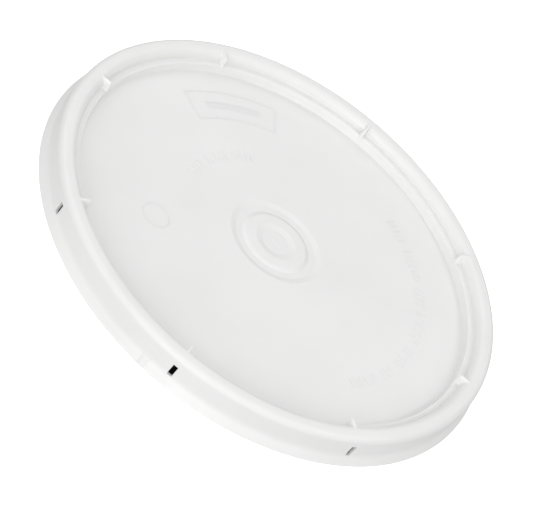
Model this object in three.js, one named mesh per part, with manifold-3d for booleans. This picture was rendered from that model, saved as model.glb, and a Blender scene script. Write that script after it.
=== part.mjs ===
// Press-on lid of a 12 inch plastic fermenting bucket: the moulded shell and the gasket in its rim.
// Millimetres, +Z up. The origin is the centre of the circle that the skirt's lower edge stands on.
import * as THREE from 'three';
import { mergeVertices } from 'three/addons/utils/BufferGeometryUtils.js';
import Module from 'manifold-3d';

// Driving dimensions
const outerRadius = 157; // lower edge of the flared skirt
const height = 21.8; // from the skirt's lower edge to the top of the crest
const wall = 2.1; // wall of the moulding
const skirtRadius = 153.2; // upright upper part of the skirt
const flareTop = 6.3; // height at which the skirt starts to flare outwards
const crestWallRadius = 141.4; // upright inner wall of the crest
const crestFillet = 3.9; // rounding of the crest's outer edge
const innerFillet = 5; // wider rounding of its inner edge
const roofFillet = 2.2; // rounding inside the crest
const wallFoot = 15.3; // height of the inner wall's foot
const ledgeWidth = 4.2; // ledge at the wall's foot, which the ribs stand on
const ledgeDrop = 0.1; // fall of the ledge towards its inner edge
const panelRadius = 136.3; // flat recessed panel
const panelHeight = 9.3; // top face of the panel
const panelWall = 2.2; // thickness of the panel, a little more than the walls
const featureCount = 8; // slots, and stacking ribs, around the rim
const slotWidth = 3.2;
const slotBottom = flareTop;
const slotTop = 14.7;
const slotDepth = 6; // length of the slots' cutter, across the skirt's wall
const ribThickness = 2.6; // at the crest
const ribFootThickness = 3.6; // at the ledge
const ribDrop = 0.2; // rib tops below the crest
const ribInset = 0.4; // rib ends outside the panel's edge
const grooveOuter = 31.5; // round groove in the middle of the panel
const grooveInner = 20.5;
const grooveDepth = 1.1;
const grooveSlope = 3.5; // width of the groove's outer side
const bossSlope = 3; // width of its inner side, which is the boss's flank
const dimpleRadius = 14; // shallow dimple in the top of the boss
const dimpleFloor = 9.5; // flat bottom of the dimple
const dimpleDepth = 0.9;
const skirtWall = 1.9; // wall of the skirt, a little thinner than the rest
const beadReach = 0.8; // holding bead inside the skirt
const beadHeight = 4.2; // height of the bead's middle
const beadFlat = 0.6; // half height of the bead's face
const beadSlope = 1.3; // height of the bead's upper side
const gasketHeight = 2.5;
const gasketGap = 0.4; // clearance around the gasket in its channel
const turnSteps = 112; // facets of every turned shape, a multiple of the feature count
const filletSteps = 4;

// Derived dimensions
const skirtInner = skirtRadius - skirtWall;
const channelInner = crestWallRadius + wall;
const roof = height - wall;
const panelUnder = panelHeight - panelWall;
const crestInnerEdge = crestWallRadius + innerFillet;

const wasm = await Module();
wasm.setup();

const lidMaterial = new THREE.MeshStandardMaterial({ color: 0xeeefec, roughness: 0.42, metalness: 0 });
const gasketMaterial = new THREE.MeshStandardMaterial({ color: 0xd9d9d4, roughness: 0.8, metalness: 0 });

function point(radius, z) {
  return new THREE.Vector2(radius, z);
}

// Points of an arc in the section plane, angles in degrees.
function arc(centreRadius, centreZ, radius, fromDegrees, toDegrees, steps) {
  const points = [];
  for (let i = 0; i <= steps; i += 1) {
    const angle = THREE.MathUtils.degToRad(fromDegrees + ((toDegrees - fromDegrees) * i) / steps);
    points.push(point(centreRadius + radius * Math.cos(angle), centreZ + radius * Math.sin(angle)));
  }
  return points;
}

// Geometry as a solid, without the zero-area triangles that a turned profile leaves on its axis.
function toSolid(geometry) {
  const bare = geometry.clone();
  bare.deleteAttribute('normal');
  bare.deleteAttribute('uv');
  const merged = mergeVertices(bare);
  const index = merged.index.array;
  const triangles = [];
  for (let i = 0; i < index.length; i += 3) {
    const [a, b, c] = [index[i], index[i + 1], index[i + 2]];
    if (a !== b && b !== c && c !== a) {
      triangles.push(a, b, c);
    }
  }
  const vertProperties = new Float32Array(merged.attributes.position.array);
  const triVerts = new Uint32Array(triangles);
  return new wasm.Manifold(new wasm.Mesh({ numProp: 3, vertProperties, triVerts }));
}

function toGeometry(solid) {
  const mesh = solid.getMesh();
  const geometry = new THREE.BufferGeometry();
  geometry.setAttribute('position', new THREE.BufferAttribute(new Float32Array(mesh.vertProperties), 3));
  geometry.setIndex(new THREE.BufferAttribute(new Uint32Array(mesh.triVerts), 1));
  geometry.computeVertexNormals();
  return geometry;
}

// A section turned about +Z.
function turned(profile) {
  const geometry = new THREE.LatheGeometry(profile, turnSteps);
  geometry.rotateX(Math.PI / 2);
  return toSolid(geometry);
}

// Section of the shell, from the axis under the panel, out along the underside and back over the top.
function shellSection() {
  const underside = [
    point(0, panelUnder),
    point(panelRadius + wall, panelUnder),
    point(panelRadius + wall + 0.8, wallFoot - wall),
    point(channelInner, wallFoot - wall),
    ...arc(channelInner + roofFillet, roof - roofFillet, roofFillet, 180, 90, 2),
    ...arc(skirtInner - roofFillet, roof - roofFillet, roofFillet, 90, 0, 2),
    point(skirtInner, beadHeight + beadFlat + beadSlope),
    point(skirtInner - beadReach, beadHeight + beadFlat),
    point(skirtInner - beadReach, beadHeight - beadFlat),
    point(outerRadius - 4, beadHeight - 2.4),
    point(outerRadius - 2.2, 0),
  ];
  const outside = [
    point(outerRadius - 0.4, 0),
    point(outerRadius, 0.5),
    point(outerRadius, 1),
    point(skirtRadius, flareTop),
    ...arc(skirtRadius - crestFillet, height - crestFillet, crestFillet, 0, 90, filletSteps),
    ...arc(crestInnerEdge, height - innerFillet, innerFillet, 90, 180, filletSteps),
    point(crestWallRadius, wallFoot),
    point(crestWallRadius - ledgeWidth, wallFoot - ledgeDrop),
    point(panelRadius, panelHeight),
  ];
  const middle = [
    point(grooveOuter, panelHeight),
    point(grooveOuter - grooveSlope, panelHeight - grooveDepth),
    point(grooveInner + bossSlope, panelHeight - grooveDepth),
    point(grooveInner, panelHeight),
    point(dimpleRadius, panelHeight),
    point(dimpleFloor, panelHeight - dimpleDepth),
    point(0, panelHeight - dimpleDepth),
  ];
  return [...underside, ...outside, ...middle];
}

// Outline of a stacking rib, which fills the corner of the inner wall and the ledge up to the crest.
function ribOutline() {
  const top = height - ribDrop;
  const inside = crestWallRadius + wall / 2;
  return new THREE.Shape([
    point(crestInnerEdge + 0.5, top),
    point(crestInnerEdge + 0.5, top - 0.9),
    point(inside, roof - 1),
    point(inside, wallFoot - 1),
    point(panelRadius + wall, wallFoot - 1),
    point(panelRadius + ribInset, wallFoot - 2),
    point(panelRadius + ribInset, wallFoot),
    point(panelRadius + ribInset + 0.6, top - 1),
    point(panelRadius + ribInset + 1.4, top),
  ]);
}

// Stacking rib: a web that grows thicker from the crest to the ledge.
function rib(angle) {
  const geometry = new THREE.ExtrudeGeometry(ribOutline(), { depth: 1, bevelEnabled: false });
  geometry.translate(0, 0, -0.5);
  geometry.rotateX(Math.PI / 2);
  const position = geometry.attributes.position;
  for (let i = 0; i < position.count; i += 1) {
    const depth = (height - position.getZ(i)) / (height - wallFoot);
    const thickness = ribThickness + (ribFootThickness - ribThickness) * depth;
    position.setY(i, position.getY(i) * thickness);
  }
  geometry.rotateZ(angle);
  return toSolid(geometry);
}

// Cutter for one of the slots through the upper skirt.
function slot(angle) {
  const geometry = new THREE.BoxGeometry(slotDepth, slotWidth, slotTop - slotBottom);
  geometry.translate(skirtRadius, 0, (slotTop + slotBottom) / 2);
  geometry.rotateZ(angle);
  return toSolid(geometry);
}

function lidShell() {
  let solid = turned(shellSection());
  for (let i = 0; i < featureCount; i += 1) {
    const angle = (i * 2 * Math.PI) / featureCount;
    solid = solid.add(rib(angle)).subtract(slot(angle));
  }
  const mesh = new THREE.Mesh(toGeometry(solid), lidMaterial);
  mesh.name = 'lid_shell';
  return mesh;
}

// Gasket: a ring with a flat sealing face below and rounded shoulders under the channel's roof.
function gasket() {
  const inner = channelInner + gasketGap;
  const outer = skirtInner - gasketGap;
  const top = roof - gasketGap;
  const bottom = top - gasketHeight;
  const shoulder = 2;
  const chamfer = 0.4;
  const section = [
    point(inner + chamfer, bottom),
    point(outer - chamfer, bottom),
    point(outer, bottom + chamfer),
    ...arc(outer - shoulder, top - shoulder, shoulder, 0, 90, 2),
    ...arc(inner + shoulder, top - shoulder, shoulder, 90, 180, 2),
    point(inner, bottom + chamfer),
    point(inner + chamfer, bottom),
  ];
  const mesh = new THREE.Mesh(toGeometry(turned(section)), gasketMaterial);
  mesh.name = 'gasket';
  return mesh;
}

const lid = new THREE.Group();
lid.add(lidShell(), gasket());

export default lid;
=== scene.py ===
"""Looks of a white press-on bucket lid: the moulded shell with its marks, and the gasket under the rim."""

import math

import bmesh
import bpy
from mathutils import Matrix, Vector


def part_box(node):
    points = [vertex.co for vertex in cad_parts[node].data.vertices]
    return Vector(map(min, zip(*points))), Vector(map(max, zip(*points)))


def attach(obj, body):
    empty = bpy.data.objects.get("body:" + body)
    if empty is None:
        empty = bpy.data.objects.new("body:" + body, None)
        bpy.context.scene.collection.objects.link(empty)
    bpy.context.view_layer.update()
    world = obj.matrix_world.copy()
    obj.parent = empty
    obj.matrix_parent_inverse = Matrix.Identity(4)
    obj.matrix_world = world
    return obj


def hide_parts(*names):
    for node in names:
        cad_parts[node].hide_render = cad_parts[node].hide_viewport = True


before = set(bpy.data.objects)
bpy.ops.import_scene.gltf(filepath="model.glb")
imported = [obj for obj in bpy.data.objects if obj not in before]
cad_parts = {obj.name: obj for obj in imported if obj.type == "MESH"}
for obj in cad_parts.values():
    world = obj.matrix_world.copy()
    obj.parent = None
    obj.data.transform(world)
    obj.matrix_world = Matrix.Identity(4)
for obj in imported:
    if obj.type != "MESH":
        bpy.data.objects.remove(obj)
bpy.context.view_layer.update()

MM = 0.001
LID_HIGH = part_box("lid_shell")[1]
GASKET_LOW, GASKET_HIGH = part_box("gasket")

# Driving dimensions of the shell, in millimetres; its outer radius and height come from the frame.
OUTER_RADIUS = LID_HIGH.x / MM
HEIGHT = LID_HIGH.z / MM
WALL = 2.1
SKIRT_RADIUS = 153.2
SKIRT_INNER = 151.3
FLARE_TOP = 6.3
SLOT_TOP = 14.7
SLOT_WIDTH = 3.2
SLOT_STEPS = 4
CREST_WALL_RADIUS = 141.4
CREST_FILLET = 3.9
INNER_FILLET = 5.0
ROOF_FILLET = 2.2
CREST_INNER_EDGE = CREST_WALL_RADIUS + INNER_FILLET
WALL_FOOT = 15.3
LEDGE_WIDTH = 4.2
LEDGE_DROP = 0.1
PANEL_RADIUS = 136.3
PANEL_HEIGHT = 9.3
PANEL_UNDER = 7.1
FEATURES = 8
PITCH = 360 / FEATURES  # degrees from one rib and slot to the next
RIB_DROP = 0.15
RIB_TOP_END = 1.2  # outside the panel's edge, at the crest
RIB_FOOT_END = 0.6  # and at the ledge
RIB_HALF_WIDTH = 0.7
RIB_SIDE_REACH = (0.6, 1.2)  # width of a rib's soft side at the crest and at the ledge
GASKET_GAP = 0.4

# Plain marks on the panel, in millimetres and degrees
TICK_RISE = 0.28
FRAME_RISE = 0.22
FRAME_RADII = (97.0, 119.0)
FRAME_BEARINGS = (117, 151)
FRAME_LINE = 1.3
MARK_STEPS = 36

# Shading and mesh
SHARP_EDGE = math.radians(38)
GASKET_STEPS = 360

# Camera, measured from the lid: its bearing and height in degrees, and its distance in outer radii.
VIEW_BEARING = -91.04
VIEW_ELEVATION = 37.73
VIEW_DISTANCE = 8.9
VIEW_ROLL = 40.49
VIEW_LENS = 154.5
VIEW_SHIFT = (-0.0037, -0.0065)

# Studio: each softbox has a bearing and a height in degrees and a power in watts.
SOFTBOX_DISTANCE = 3.0
SOFTBOX_SIZE = 1.8
SOFTBOXES = (
    ("front_softbox", -90, 18, 26),
    ("front_left_softbox", -138, 25, 15),
    ("front_right_softbox", -55, 25, 7),
    ("front_high_softbox", -90, 50, 8),
    ("back_right_softbox", 0, 50, 16),
    ("back_left_softbox", 135, 45, 11),
    ("back_softbox", 90, 45, 7),
)
SKY_BELOW = 0.68
SKY_ABOVE = 0.51
FLOOR_HALF = 6.0
FLOOR_DROP = 0.0002
FLOOR_GLOW = 0.75


def polar(radius, degrees, z):
    angle = math.radians(degrees)
    return Vector((radius * math.cos(angle), radius * math.sin(angle), z)) * MM


def arc(centre, radius, start, end, steps):
    """Points of an arc in the section plane, angles in degrees."""
    points = []
    for i in range(steps + 1):
        angle = math.radians(start + (end - start) * i / steps)
        points.append((centre[0] + radius * math.cos(angle), centre[1] + radius * math.sin(angle)))
    return points


def rounded(corners, steps=5):
    """A section line through corners (r, z, radius), each corner turned by its own fillet."""
    line = [corners[0][:2]]
    for before, here, after in zip(corners, corners[1:], corners[2:]):
        corner = Vector(here[:2])
        back = Vector(before[:2]) - corner
        ahead = Vector(after[:2]) - corner
        turn = back.angle(ahead)
        if here[2] == 0 or turn > math.radians(179):
            line.append(here[:2])
            continue
        reach = min(here[2] / math.tan(turn / 2), 0.49 * back.length, 0.49 * ahead.length)
        first = corner + back.normalized() * reach
        last = corner + ahead.normalized() * reach
        for i in range(steps + 1):
            t = i / steps
            point = first * (1 - t) ** 2 + corner * 2 * t * (1 - t) + last * t**2
            line.append((point.x, point.y))
    line.append(corners[-1][:2])
    return line


def divided(line, step):
    """The same section line with no stretch longer than step."""
    points = [line[0]]
    for a, b in zip(line, line[1:]):
        count = max(1, math.ceil(math.dist(a, b) / step))
        for i in range(1, count + 1):
            t = i / count
            points.append((a[0] + (b[0] - a[0]) * t, a[1] + (b[1] - a[1]) * t))
    return points


def slot_rows(radius, upwards):
    """Points up or down the skirt's wall where the slots pass through it."""
    heights = [FLARE_TOP + (SLOT_TOP - FLARE_TOP) * i / SLOT_STEPS for i in range(SLOT_STEPS + 1)]
    if not upwards:
        heights.reverse()
    return [(radius, z) for z in heights]


def underside_line():
    """Section from the axis under the panel to the skirt's inner wall at the slots' top."""
    inner = CREST_WALL_RADIUS + WALL
    roof = HEIGHT - WALL
    corners = [
        (0.0, PANEL_UNDER, 0),
        (PANEL_RADIUS + WALL, PANEL_UNDER, 2.0),
        (PANEL_RADIUS + WALL + 0.8, WALL_FOOT - WALL, 1.0),
        (inner, WALL_FOOT - WALL, 0.6),
        (inner, roof, ROOF_FILLET),
        (SKIRT_INNER, roof, ROOF_FILLET),
        (SKIRT_INNER, SLOT_TOP, 0),
    ]
    return rounded(corners)


def skirt_line():
    """Section from the slots' foot inside the skirt, over the bead and the lower edge, to the flare's top."""
    corners = [
        (SKIRT_INNER, FLARE_TOP, 0),
        (SKIRT_INNER, 6.0, 0.3),
        (SKIRT_INNER - 0.8, 4.9, 0.5),
        (SKIRT_INNER - 0.8, 3.7, 0.8),
        (OUTER_RADIUS - 4.0, 1.9, 1.0),
        (OUTER_RADIUS - 2.1, 0.0, 0.4),
        (OUTER_RADIUS - 0.4, 0.0, 0.4),
        (OUTER_RADIUS, 0.6, 0.4),
        (SKIRT_RADIUS, FLARE_TOP, 0),
    ]
    return rounded(corners)


def crest_line():
    """Section from the slots' top outside, over the crest, to the top of its upright inner wall."""
    outer = arc((SKIRT_RADIUS - CREST_FILLET, HEIGHT - CREST_FILLET), CREST_FILLET, 0, 90, 12)
    inner = arc((CREST_INNER_EDGE, HEIGHT - INNER_FILLET), INNER_FILLET, 90, 180, 12)
    return [(SKIRT_RADIUS, SLOT_TOP)] + outer + inner


def panel_line():
    """Section from the crest's inner wall over the ledge, the panel, its groove and its boss, to the axis."""
    corners = [
        (CREST_WALL_RADIUS, HEIGHT - INNER_FILLET, 0),
        (CREST_WALL_RADIUS, WALL_FOOT, 0.9),
        (CREST_WALL_RADIUS - LEDGE_WIDTH, WALL_FOOT - LEDGE_DROP, 0.9),
        (PANEL_RADIUS, PANEL_HEIGHT, 1.0),
        (70.0, PANEL_HEIGHT, 0),
        (31.9, PANEL_HEIGHT, 1.8),
        (28.0, PANEL_HEIGHT - 1.0, 2.0),
        (23.6, PANEL_HEIGHT - 1.15, 1.6),
        (20.8, PANEL_HEIGHT - 0.1, 1.6),
        (14.0, PANEL_HEIGHT - 0.05, 2.5),
        (9.5, PANEL_HEIGHT - 0.9, 3.0),
        (1.4, PANEL_HEIGHT - 0.95, 0.3),
        (1.0, PANEL_HEIGHT - 0.8, 0.3),
        (0.0, PANEL_HEIGHT - 0.8, 0),
    ]
    return rounded(corners, 7)


def shell_section():
    """The closed section, axis to axis, with the places of the slot rows inside and outside the skirt."""
    section = divided(underside_line(), 6)
    inside_top = len(section) - 1
    section += slot_rows(SKIRT_INNER, False)[1:]
    inside_foot = len(section) - 1
    section += divided(skirt_line(), 2)[1:]
    outside_foot = len(section) - 1
    section += slot_rows(SKIRT_RADIUS, True)[1:]
    outside_top = len(section) - 1
    section += divided(crest_line(), 1)[1:]
    section += divided(panel_line(), 5)[1:]
    inside = list(range(inside_foot, inside_top - 1, -1))
    outside = list(range(outside_foot, outside_top + 1))
    return section, inside, outside


def along(line, fraction):
    """The point of a section line at a fraction of its length."""
    lengths = [math.dist(a, b) for a, b in zip(line, line[1:])]
    left = fraction * sum(lengths)
    for a, b, length in zip(line, line[1:], lengths):
        if left <= length and length > 0:
            t = left / length
            return (a[0] + (b[0] - a[0]) * t, a[1] + (b[1] - a[1]) * t)
        left -= length
    return line[-1]


def ribbed(section):
    """The section through a rib: the stretch from the crest over the ledge follows the rib's outline."""
    half = len(section) // 2
    first = next(i for i in range(half, len(section)) if section[i][0] <= CREST_INNER_EDGE + 0.01)
    last = next(i for i in range(first, len(section)) if section[i][1] < WALL_FOOT - 2)
    base = section[first : last + 1]
    outline = rounded(
        [
            (*base[0], 0),
            (PANEL_RADIUS + RIB_TOP_END, HEIGHT - RIB_DROP, 1.2),
            (PANEL_RADIUS + RIB_FOOT_END, WALL_FOOT, 1.0),
            (*base[-1], 0),
        ],
        8,
    )
    total = sum(math.dist(a, b) for a, b in zip(base, base[1:]))
    moved = list(section)
    run = 0.0
    for i in range(1, len(base) - 1):
        run += math.dist(base[i - 1], base[i])
        moved[first + i] = along(outline, run / total)
    return moved


def slot_edge():
    return math.degrees(math.asin(SLOT_WIDTH / 2 / SKIRT_RADIUS))


def column_angles():
    """Angles of the mesh's columns in degrees: close together at every rib and slot, wider between them."""
    half = [0.0, 0.2, 0.36, 0.44, 0.52, slot_edge(), 0.68, 0.76, 0.84, 0.92, 1.0, 1.1, 1.3, 1.8]
    angle = 2.5
    while angle < PITCH / 2 - 0.4:
        half.append(angle)
        angle += 0.8
    around = sorted([-a for a in half[1:]] + half)
    return [k * PITCH + a for k in range(FEATURES) for a in around]


def smooth_step(t):
    t = min(max(t, 0.0), 1.0)
    return t * t * (3 - 2 * t)


def rib_share(degrees, z):
    """1 on a rib, 0 beside it, with soft sides that spread towards the rib's foot."""
    off = abs((degrees + PITCH / 2) % PITCH - PITCH / 2)
    aside = math.radians(off) * CREST_WALL_RADIUS
    depth = smooth_step((HEIGHT - z) / (HEIGHT - WALL_FOOT))
    reach = RIB_SIDE_REACH[0] + (RIB_SIDE_REACH[1] - RIB_SIDE_REACH[0]) * depth
    return 1 - smooth_step((aside - RIB_HALF_WIDTH) / reach)


def panel_wave(x, y):
    """How far the moulded panel is out of flat, in millimetres."""
    radius = math.hypot(x, y)
    inside = 1 - smooth_step((radius - 60) / 70)
    wave = math.sin(x / 31 + 0.6) * math.cos(y / 37 - 0.4) + 0.6 * math.sin((x + 1.7 * y) / 43 + 2.1)
    return 0.1 * wave * inside


def skirt_wave(degrees, z):
    """How far the skirt's thin lower edge is pulled inwards, in millimetres."""
    low = smooth_step((FLARE_TOP + 1 - z) / FLARE_TOP)
    angle = math.radians(degrees)
    wave = 1 + 0.6 * math.sin(3 * angle + 0.8) + 0.4 * math.sin(7 * angle + 2.0)
    return 0.12 * low * wave


def shell_point(base, rib, degrees):
    share = rib_share(degrees, base[1])
    radius = base[0] + (rib[0] - base[0]) * share
    z = base[1] + (rib[1] - base[1]) * share
    if radius > SKIRT_RADIUS - 3 and z < FLARE_TOP:
        radius -= skirt_wave(degrees, z)
    angle = math.radians(degrees)
    x = radius * math.cos(angle)
    y = radius * math.sin(angle)
    return (x * MM, y * MM, (z + panel_wave(x, y)) * MM)


def shell_faces(rows, columns, slot_columns, inside, outside):
    """Quads of the turned skin without the slots' mouths, and the slots' walls."""
    def corner(row, column):
        return 1 + (row - 1) * columns + column % columns

    pole_low = 0
    pole_high = 1 + (rows - 2) * columns
    open_rows = set(inside[1:]) | set(outside[:-1])
    faces = []
    for j in range(columns):
        faces.append((pole_low, corner(1, j), corner(1, j + 1)))
        faces.append((corner(rows - 2, j + 1), corner(rows - 2, j), pole_high))
        for i in range(1, rows - 2):
            if i in open_rows and j in slot_columns:
                continue
            faces.append((corner(i, j), corner(i + 1, j), corner(i + 1, j + 1), corner(i, j + 1)))
    for j in slot_columns:
        for k in (0, -1):
            a, b = inside[k], outside[k]
            faces.append((corner(a, j), corner(b, j), corner(b, j + 1), corner(a, j + 1)))
        for side in (j, j + 1):
            if (side - 1) % columns in slot_columns and side % columns in slot_columns:
                continue
            for k in range(len(inside) - 1):
                lower = (corner(inside[k], side), corner(outside[k], side))
                upper = (corner(outside[k + 1], side), corner(inside[k + 1], side))
                faces.append(lower + upper)
    return faces


def new_object(name, vertices, faces):
    """A mesh object with its faces out, shaded smooth except across sharp edges."""
    mesh = bpy.data.meshes.new(name)
    mesh.from_pydata(vertices, [], faces)
    build = bmesh.new()
    build.from_mesh(mesh)
    bmesh.ops.recalc_face_normals(build, faces=build.faces)
    for face in build.faces:
        face.smooth = True
    for edge in build.edges:
        edge.smooth = edge.calc_face_angle(0) < SHARP_EDGE
    build.to_mesh(mesh)
    build.free()
    thing = bpy.data.objects.new(name, mesh)
    bpy.context.scene.collection.objects.link(thing)
    return thing


def make_shell():
    section, inside, outside = shell_section()
    rib_section = ribbed(section)
    angles = column_angles()
    edge = slot_edge() - 0.001
    slot_columns = set()
    for j, degrees in enumerate(angles):
        off = (degrees + PITCH / 2) % PITCH - PITCH / 2
        if -edge - 0.01 < off < edge:
            slot_columns.add(j)
    vertices = [(0, 0, (section[0][1] + panel_wave(0, 0)) * MM)]
    for base, rib in zip(section[1:-1], rib_section[1:-1]):
        vertices += [shell_point(base, rib, degrees) for degrees in angles]
    vertices.append((0, 0, (section[-1][1] + panel_wave(0, 0)) * MM))
    faces = shell_faces(len(section), len(angles), slot_columns, inside, outside)
    return new_object("moulded_lid", vertices, faces)


def turned(name, loop):
    """A closed section loop (r, z in millimetres) turned about the axis."""
    vertices = []
    for j in range(GASKET_STEPS):
        vertices += [polar(r, 360 * j / GASKET_STEPS, z) for r, z in loop]
    count = len(loop)
    faces = []
    for j in range(GASKET_STEPS):
        ahead = (j + 1) % GASKET_STEPS
        for i in range(count):
            k = (i + 1) % count
            faces.append((j * count + i, ahead * count + i, ahead * count + k, j * count + k))
    return new_object(name, vertices, faces)


def make_gasket():
    """A ring with rounded shoulders and two low sealing lips on its lower face."""
    outer = GASKET_HIGH.x / MM
    inner = outer - (SKIRT_INNER - CREST_WALL_RADIUS - WALL - 2 * GASKET_GAP)
    low = GASKET_LOW.z / MM
    high = GASKET_HIGH.z / MM
    middle = (inner + outer) / 2
    corners = [
        (middle, low + 0.5, 0),
        (middle + 0.5, low + 0.5, 0.4),
        (middle + 1.1, low, 0.5),
        (middle + 1.9, low, 0.5),
        (outer, low + 0.7, 0.6),
        (outer, high, 1.9),
        (inner, high, 1.9),
        (inner, low + 0.7, 0.6),
        (middle - 1.9, low, 0.5),
        (middle - 1.1, low, 0.5),
        (middle - 0.5, low + 0.5, 0.4),
        (middle, low + 0.5, 0),
    ]
    return turned("rim_gasket", rounded(corners, 4)[:-1])


def raised_bar(line, width, height, base):
    """Vertices and faces of a low raised bar with sloping sides, along a line of (x, y) points."""
    left = [(-0.5, -0.3), (-0.5, 0.0), (-0.36, 0.75), (-0.2, 1.0)]
    across = left + [(-side, rise) for side, rise in reversed(left)]
    vertices = []
    for i, (x, y) in enumerate(line):
        before = line[max(i - 1, 0)]
        after = line[min(i + 1, len(line) - 1)]
        heading = Vector((after[0] - before[0], after[1] - before[1])).normalized()
        for side, rise in across:
            px = x - heading.y * side * width
            py = y + heading.x * side * width
            vertices.append((px * MM, py * MM, (base + panel_wave(px, py) + rise * height) * MM))
    count = len(across)
    faces = [tuple(range(count)), tuple(range((len(line) - 1) * count, len(line) * count))]
    for i in range(len(line) - 1):
        for k in range(count):
            n = (k + 1) % count
            faces.append((i * count + k, i * count + n, (i + 1) * count + n, (i + 1) * count + k))
    return vertices, faces


def arc_line(radius, start, end, centre=(0.0, 0.0)):
    line = []
    for i in range(MARK_STEPS + 1):
        angle = math.radians(start + (end - start) * i / MARK_STEPS)
        line.append((centre[0] + radius * math.cos(angle), centre[1] + radius * math.sin(angle)))
    return line


def radial_line(degrees, inner, outer):
    angle = math.radians(degrees)
    return [(r * math.cos(angle), r * math.sin(angle)) for r in (inner, (inner + outer) / 2, outer)]


def tick_groups(radius, start, groups, spacing, gap):
    """Bearings of plain upright ticks, in groups of the given sizes, going round clockwise from start."""
    bearings = []
    degrees = start
    for size in groups:
        for _ in range(size):
            bearings.append(degrees)
            degrees -= math.degrees(spacing / radius)
        degrees -= math.degrees(gap / radius)
    return bearings


def make_marks():
    """Plain raised bars and ticks on the panel, in place of lettering."""
    bars = []
    for bearing in tick_groups(105, 62, (5, 7, 4, 8, 6, 3, 6), 3.9, 4.6):
        bars.append((radial_line(bearing, 101.5, 108.5), 1.2, TICK_RISE))
    for bearing in tick_groups(67, 181, (4, 5, 4), 4.1, 3.6):
        bars.append((radial_line(bearing, 63.6, 70.4), 1.1, TICK_RISE))
    for radius in FRAME_RADII:
        bars.append((arc_line(radius, *FRAME_BEARINGS), FRAME_LINE, FRAME_RISE))
    for bearing in FRAME_BEARINGS:
        bars.append((radial_line(bearing, *FRAME_RADII), FRAME_LINE, FRAME_RISE))
    bars.append((arc_line(108.0, 123, 145), 5.0, FRAME_RISE))
    bars.append((arc_line(9.0, 0, 360, centre=(-65.0, -55.0)), 1.2, 0.26))
    vertices = []
    faces = []
    for line, width, rise in bars:
        more_vertices, more_faces = raised_bar(line, width, rise, PANEL_HEIGHT)
        faces += [tuple(i + len(vertices) for i in face) for face in more_faces]
        vertices += more_vertices
    return new_object("plain_raised_marks", vertices, faces)


def make_flare_pad():
    """A small raised pad on the flare, where the moulded skirt is a little thicker."""
    outer = [(OUTER_RADIUS - 0.1, 0.9), (OUTER_RADIUS - 0.2, 1.3), (SKIRT_RADIUS + 0.3, FLARE_TOP + 0.4)]
    inner = [(r - 1.0, z - 0.3) for r, z in reversed(outer)]
    section = outer + inner
    bearings = (263.1, 263.3, 264.7, 264.9)
    vertices = []
    for k, degrees in enumerate(bearings):
        sunk = 0.35 if k in (0, 3) else 0.0
        vertices += [polar(r - sunk, degrees, z) for r, z in section]
    count = len(section)
    faces = [tuple(range(count)), tuple(range(3 * count, 4 * count))]
    for k in range(3):
        for i in range(count):
            n = (i + 1) % count
            faces.append((k * count + i, (k + 1) * count + i, (k + 1) * count + n, k * count + n))
    return new_object("flare_pad", vertices, faces)


def node(tree, kind, **inputs):
    made = tree.nodes.new(kind)
    for name, value in inputs.items():
        made.inputs[name.replace("_", " ")].default_value = value
    return made


def noise(tree, place, scale, detail):
    made = node(tree, "ShaderNodeTexNoise", Scale=scale, Detail=detail)
    tree.links.new(place.outputs["Object"], made.inputs["Vector"])
    return made


def spread(tree, value, before, after):
    """The value spread from one range to another, both given as (low, high)."""
    made = tree.nodes.new("ShaderNodeMapRange")
    made.inputs["From Min"].default_value, made.inputs["From Max"].default_value = before
    made.inputs["To Min"].default_value, made.inputs["To Max"].default_value = after
    tree.links.new(value, made.inputs["Value"])
    return made.outputs["Result"]


def bump(tree, height, distance, strength, normal=None):
    made = node(tree, "ShaderNodeBump", Strength=strength, Distance=distance)
    tree.links.new(height, made.inputs["Height"])
    if normal is not None:
        tree.links.new(normal, made.inputs["Normal"])
    return made.outputs["Normal"]


def new_material(name):
    made = bpy.data.materials.new(name)
    made.use_nodes = True
    shader = made.node_tree.nodes["Principled BSDF"]
    return made, made.node_tree, shader


def white_plastic():
    """Moulded white polyethylene: satin, faintly translucent, with a fine grain and a slight ripple."""
    made, tree, shader = new_material("white_polyethylene")
    place = tree.nodes.new("ShaderNodeTexCoord")
    cloud = noise(tree, place, 14, 3)
    tint = tree.nodes.new("ShaderNodeValToRGB")
    tint.color_ramp.elements[0].position = 0.3
    tint.color_ramp.elements[0].color = (0.79, 0.79, 0.785, 1)
    tint.color_ramp.elements[1].position = 0.7
    tint.color_ramp.elements[1].color = (0.82, 0.82, 0.815, 1)
    tree.links.new(cloud.outputs["Fac"], tint.inputs["Fac"])
    tree.links.new(tint.outputs["Color"], shader.inputs["Base Color"])
    satin = noise(tree, place, 75, 4)
    tree.links.new(spread(tree, satin.outputs["Fac"], (0.35, 0.65), (0.34, 0.44)), shader.inputs["Roughness"])
    grain = noise(tree, place, 1500, 2)
    ripple = noise(tree, place, 55, 2)
    rippled = bump(tree, ripple.outputs["Fac"], 0.0006, 0.25)
    tree.links.new(bump(tree, grain.outputs["Fac"], 0.00004, 0.35, rippled), shader.inputs["Normal"])
    shader.inputs["IOR"].default_value = 1.5
    shader.inputs["Subsurface Weight"].default_value = 0.2
    shader.inputs["Subsurface Radius"].default_value = (1.0, 0.95, 0.85)
    shader.inputs["Subsurface Scale"].default_value = 0.002
    return made


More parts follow.
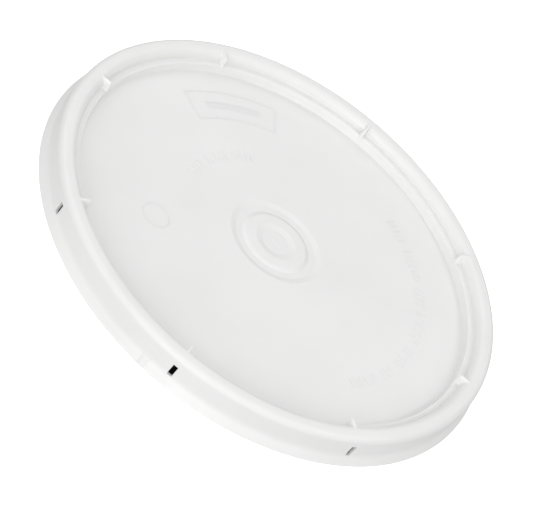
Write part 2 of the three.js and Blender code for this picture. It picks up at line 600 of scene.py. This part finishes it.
def gasket_rubber():
    """Soft pale sealing rubber: matt, with a fine open texture."""
    made, tree, shader = new_material("pale_gasket_rubber")
    place = tree.nodes.new("ShaderNodeTexCoord")
    cloud = noise(tree, place, 40, 4)
    tint = tree.nodes.new("ShaderNodeValToRGB")
    tint.color_ramp.elements[0].position = 0.3
    tint.color_ramp.elements[0].color = (0.5, 0.5, 0.485, 1)
    tint.color_ramp.elements[1].position = 0.7
    tint.color_ramp.elements[1].color = (0.6, 0.6, 0.58, 1)
    tree.links.new(cloud.outputs["Fac"], tint.inputs["Fac"])
    tree.links.new(tint.outputs["Color"], shader.inputs["Base Color"])
    pores = noise(tree, place, 1200, 3)
    tree.links.new(bump(tree, pores.outputs["Fac"], 0.0001, 0.5), shader.inputs["Normal"])
    tree.links.new(spread(tree, pores.outputs["Fac"], (0.35, 0.65), (0.7, 0.85)), shader.inputs["Roughness"])
    return made


def make_floor():
    """A plain white floor that glows a little, so that the lid throws hardly any shadow."""
    signs = ((-1, -1), (1, -1), (1, 1), (-1, 1))
    corners = [(x * FLOOR_HALF, y * FLOOR_HALF, -FLOOR_DROP) for x, y in signs]
    floor = new_object("floor", corners, [(0, 1, 2, 3)])
    made, _, shader = new_material("white_floor")
    shader.inputs["Base Color"].default_value = (0.9, 0.9, 0.9, 1)
    shader.inputs["Roughness"].default_value = 0.9
    shader.inputs["Emission Color"].default_value = (1, 1, 1, 1)
    shader.inputs["Emission Strength"].default_value = FLOOR_GLOW
    floor.data.materials.append(made)
    floor.visible_diffuse = False
    floor.visible_glossy = False


def make_shade():
    """A dark disc on the floor under the lid: painted shade for the hollow under the rim and the floor seen
    through the slots; it also keeps light from coming up into the hollow rim.
    """
    shade = bmesh.new()
    bmesh.ops.create_circle(shade, cap_ends=True, segments=96, radius=SKIRT_INNER * MM)
    mesh = bpy.data.meshes.new("floor_shade")
    shade.to_mesh(mesh)
    shade.free()
    disc = bpy.data.objects.new("floor_shade", mesh)
    bpy.context.scene.collection.objects.link(disc)
    made, _, shader = new_material("dark_shade")
    # painted shade: a near-black colour standing in for the shade under the lid
    shader.inputs["Base Color"].default_value = (0.02, 0.02, 0.02, 1)
    shader.inputs["Roughness"].default_value = 0.95
    disc.data.materials.append(made)


def softbox(name, bearing, elevation, power):
    light = bpy.data.lights.new(name, "AREA")
    light.shape = "DISK"
    light.size = SOFTBOX_SIZE
    light.energy = power
    lamp = bpy.data.objects.new(name, light)
    bpy.context.scene.collection.objects.link(lamp)
    lift = math.radians(elevation)
    flat = polar(SOFTBOX_DISTANCE * math.cos(lift) / MM, bearing, 0)
    lamp.location = flat + Vector((0, 0, SOFTBOX_DISTANCE * math.sin(lift)))
    lamp.rotation_mode = "QUATERNION"
    lamp.rotation_quaternion = lamp.location.to_track_quat("Z", "Y")


def make_lights():
    """Softboxes all round, and a plain sky that is a little brighter below the horizon."""
    for name, bearing, elevation, power in SOFTBOXES:
        softbox(name, bearing, elevation, power)
    world = bpy.data.worlds.new("studio")
    world.use_nodes = True
    tree = world.node_tree
    sky = tree.nodes["Background"]
    sky.inputs["Color"].default_value = (1, 1, 1, 1)
    place = tree.nodes.new("ShaderNodeTexCoord")
    split = tree.nodes.new("ShaderNodeSeparateXYZ")
    tree.links.new(place.outputs["Generated"], split.inputs["Vector"])
    strength = spread(tree, split.outputs["Z"], (-0.05, 0.05), (SKY_BELOW, SKY_ABOVE))
    tree.links.new(strength, sky.inputs["Strength"])
    bpy.context.scene.world = world


def make_camera():
    lens = bpy.data.cameras.new("camera")
    lens.sensor_width = 36
    lens.sensor_fit = "HORIZONTAL"
    lens.lens = VIEW_LENS
    lens.shift_x, lens.shift_y = VIEW_SHIFT
    camera = bpy.data.objects.new("camera", lens)
    bpy.context.scene.collection.objects.link(camera)
    distance = VIEW_DISTANCE * OUTER_RADIUS
    lift = math.radians(VIEW_ELEVATION)
    place = polar(distance * math.cos(lift), VIEW_BEARING, distance * math.sin(lift))
    ahead = -place.normalized()
    right = ahead.cross(Vector((0, 0, 1))).normalized()
    up = right.cross(ahead)
    roll = math.radians(VIEW_ROLL)
    across = right * math.cos(roll) + up * math.sin(roll)
    upright = up * math.cos(roll) - right * math.sin(roll)
    turn = Matrix((across, upright, -ahead)).transposed()
    camera.matrix_world = Matrix.Translation(place) @ turn.to_4x4()
    bpy.context.scene.camera = camera


def add_piece(piece, material):
    piece.data.materials.append(material)
    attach(piece, "root")


plastic = white_plastic()
shell = make_shell()
add_piece(shell, plastic)
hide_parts("lid_shell")
add_piece(make_marks(), plastic)
add_piece(make_flare_pad(), plastic)
gasket = make_gasket()
add_piece(gasket, gasket_rubber())
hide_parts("gasket")

make_floor()
make_shade()
make_lights()
make_camera()
bpy.context.scene.view_settings.view_transform = "Standard"
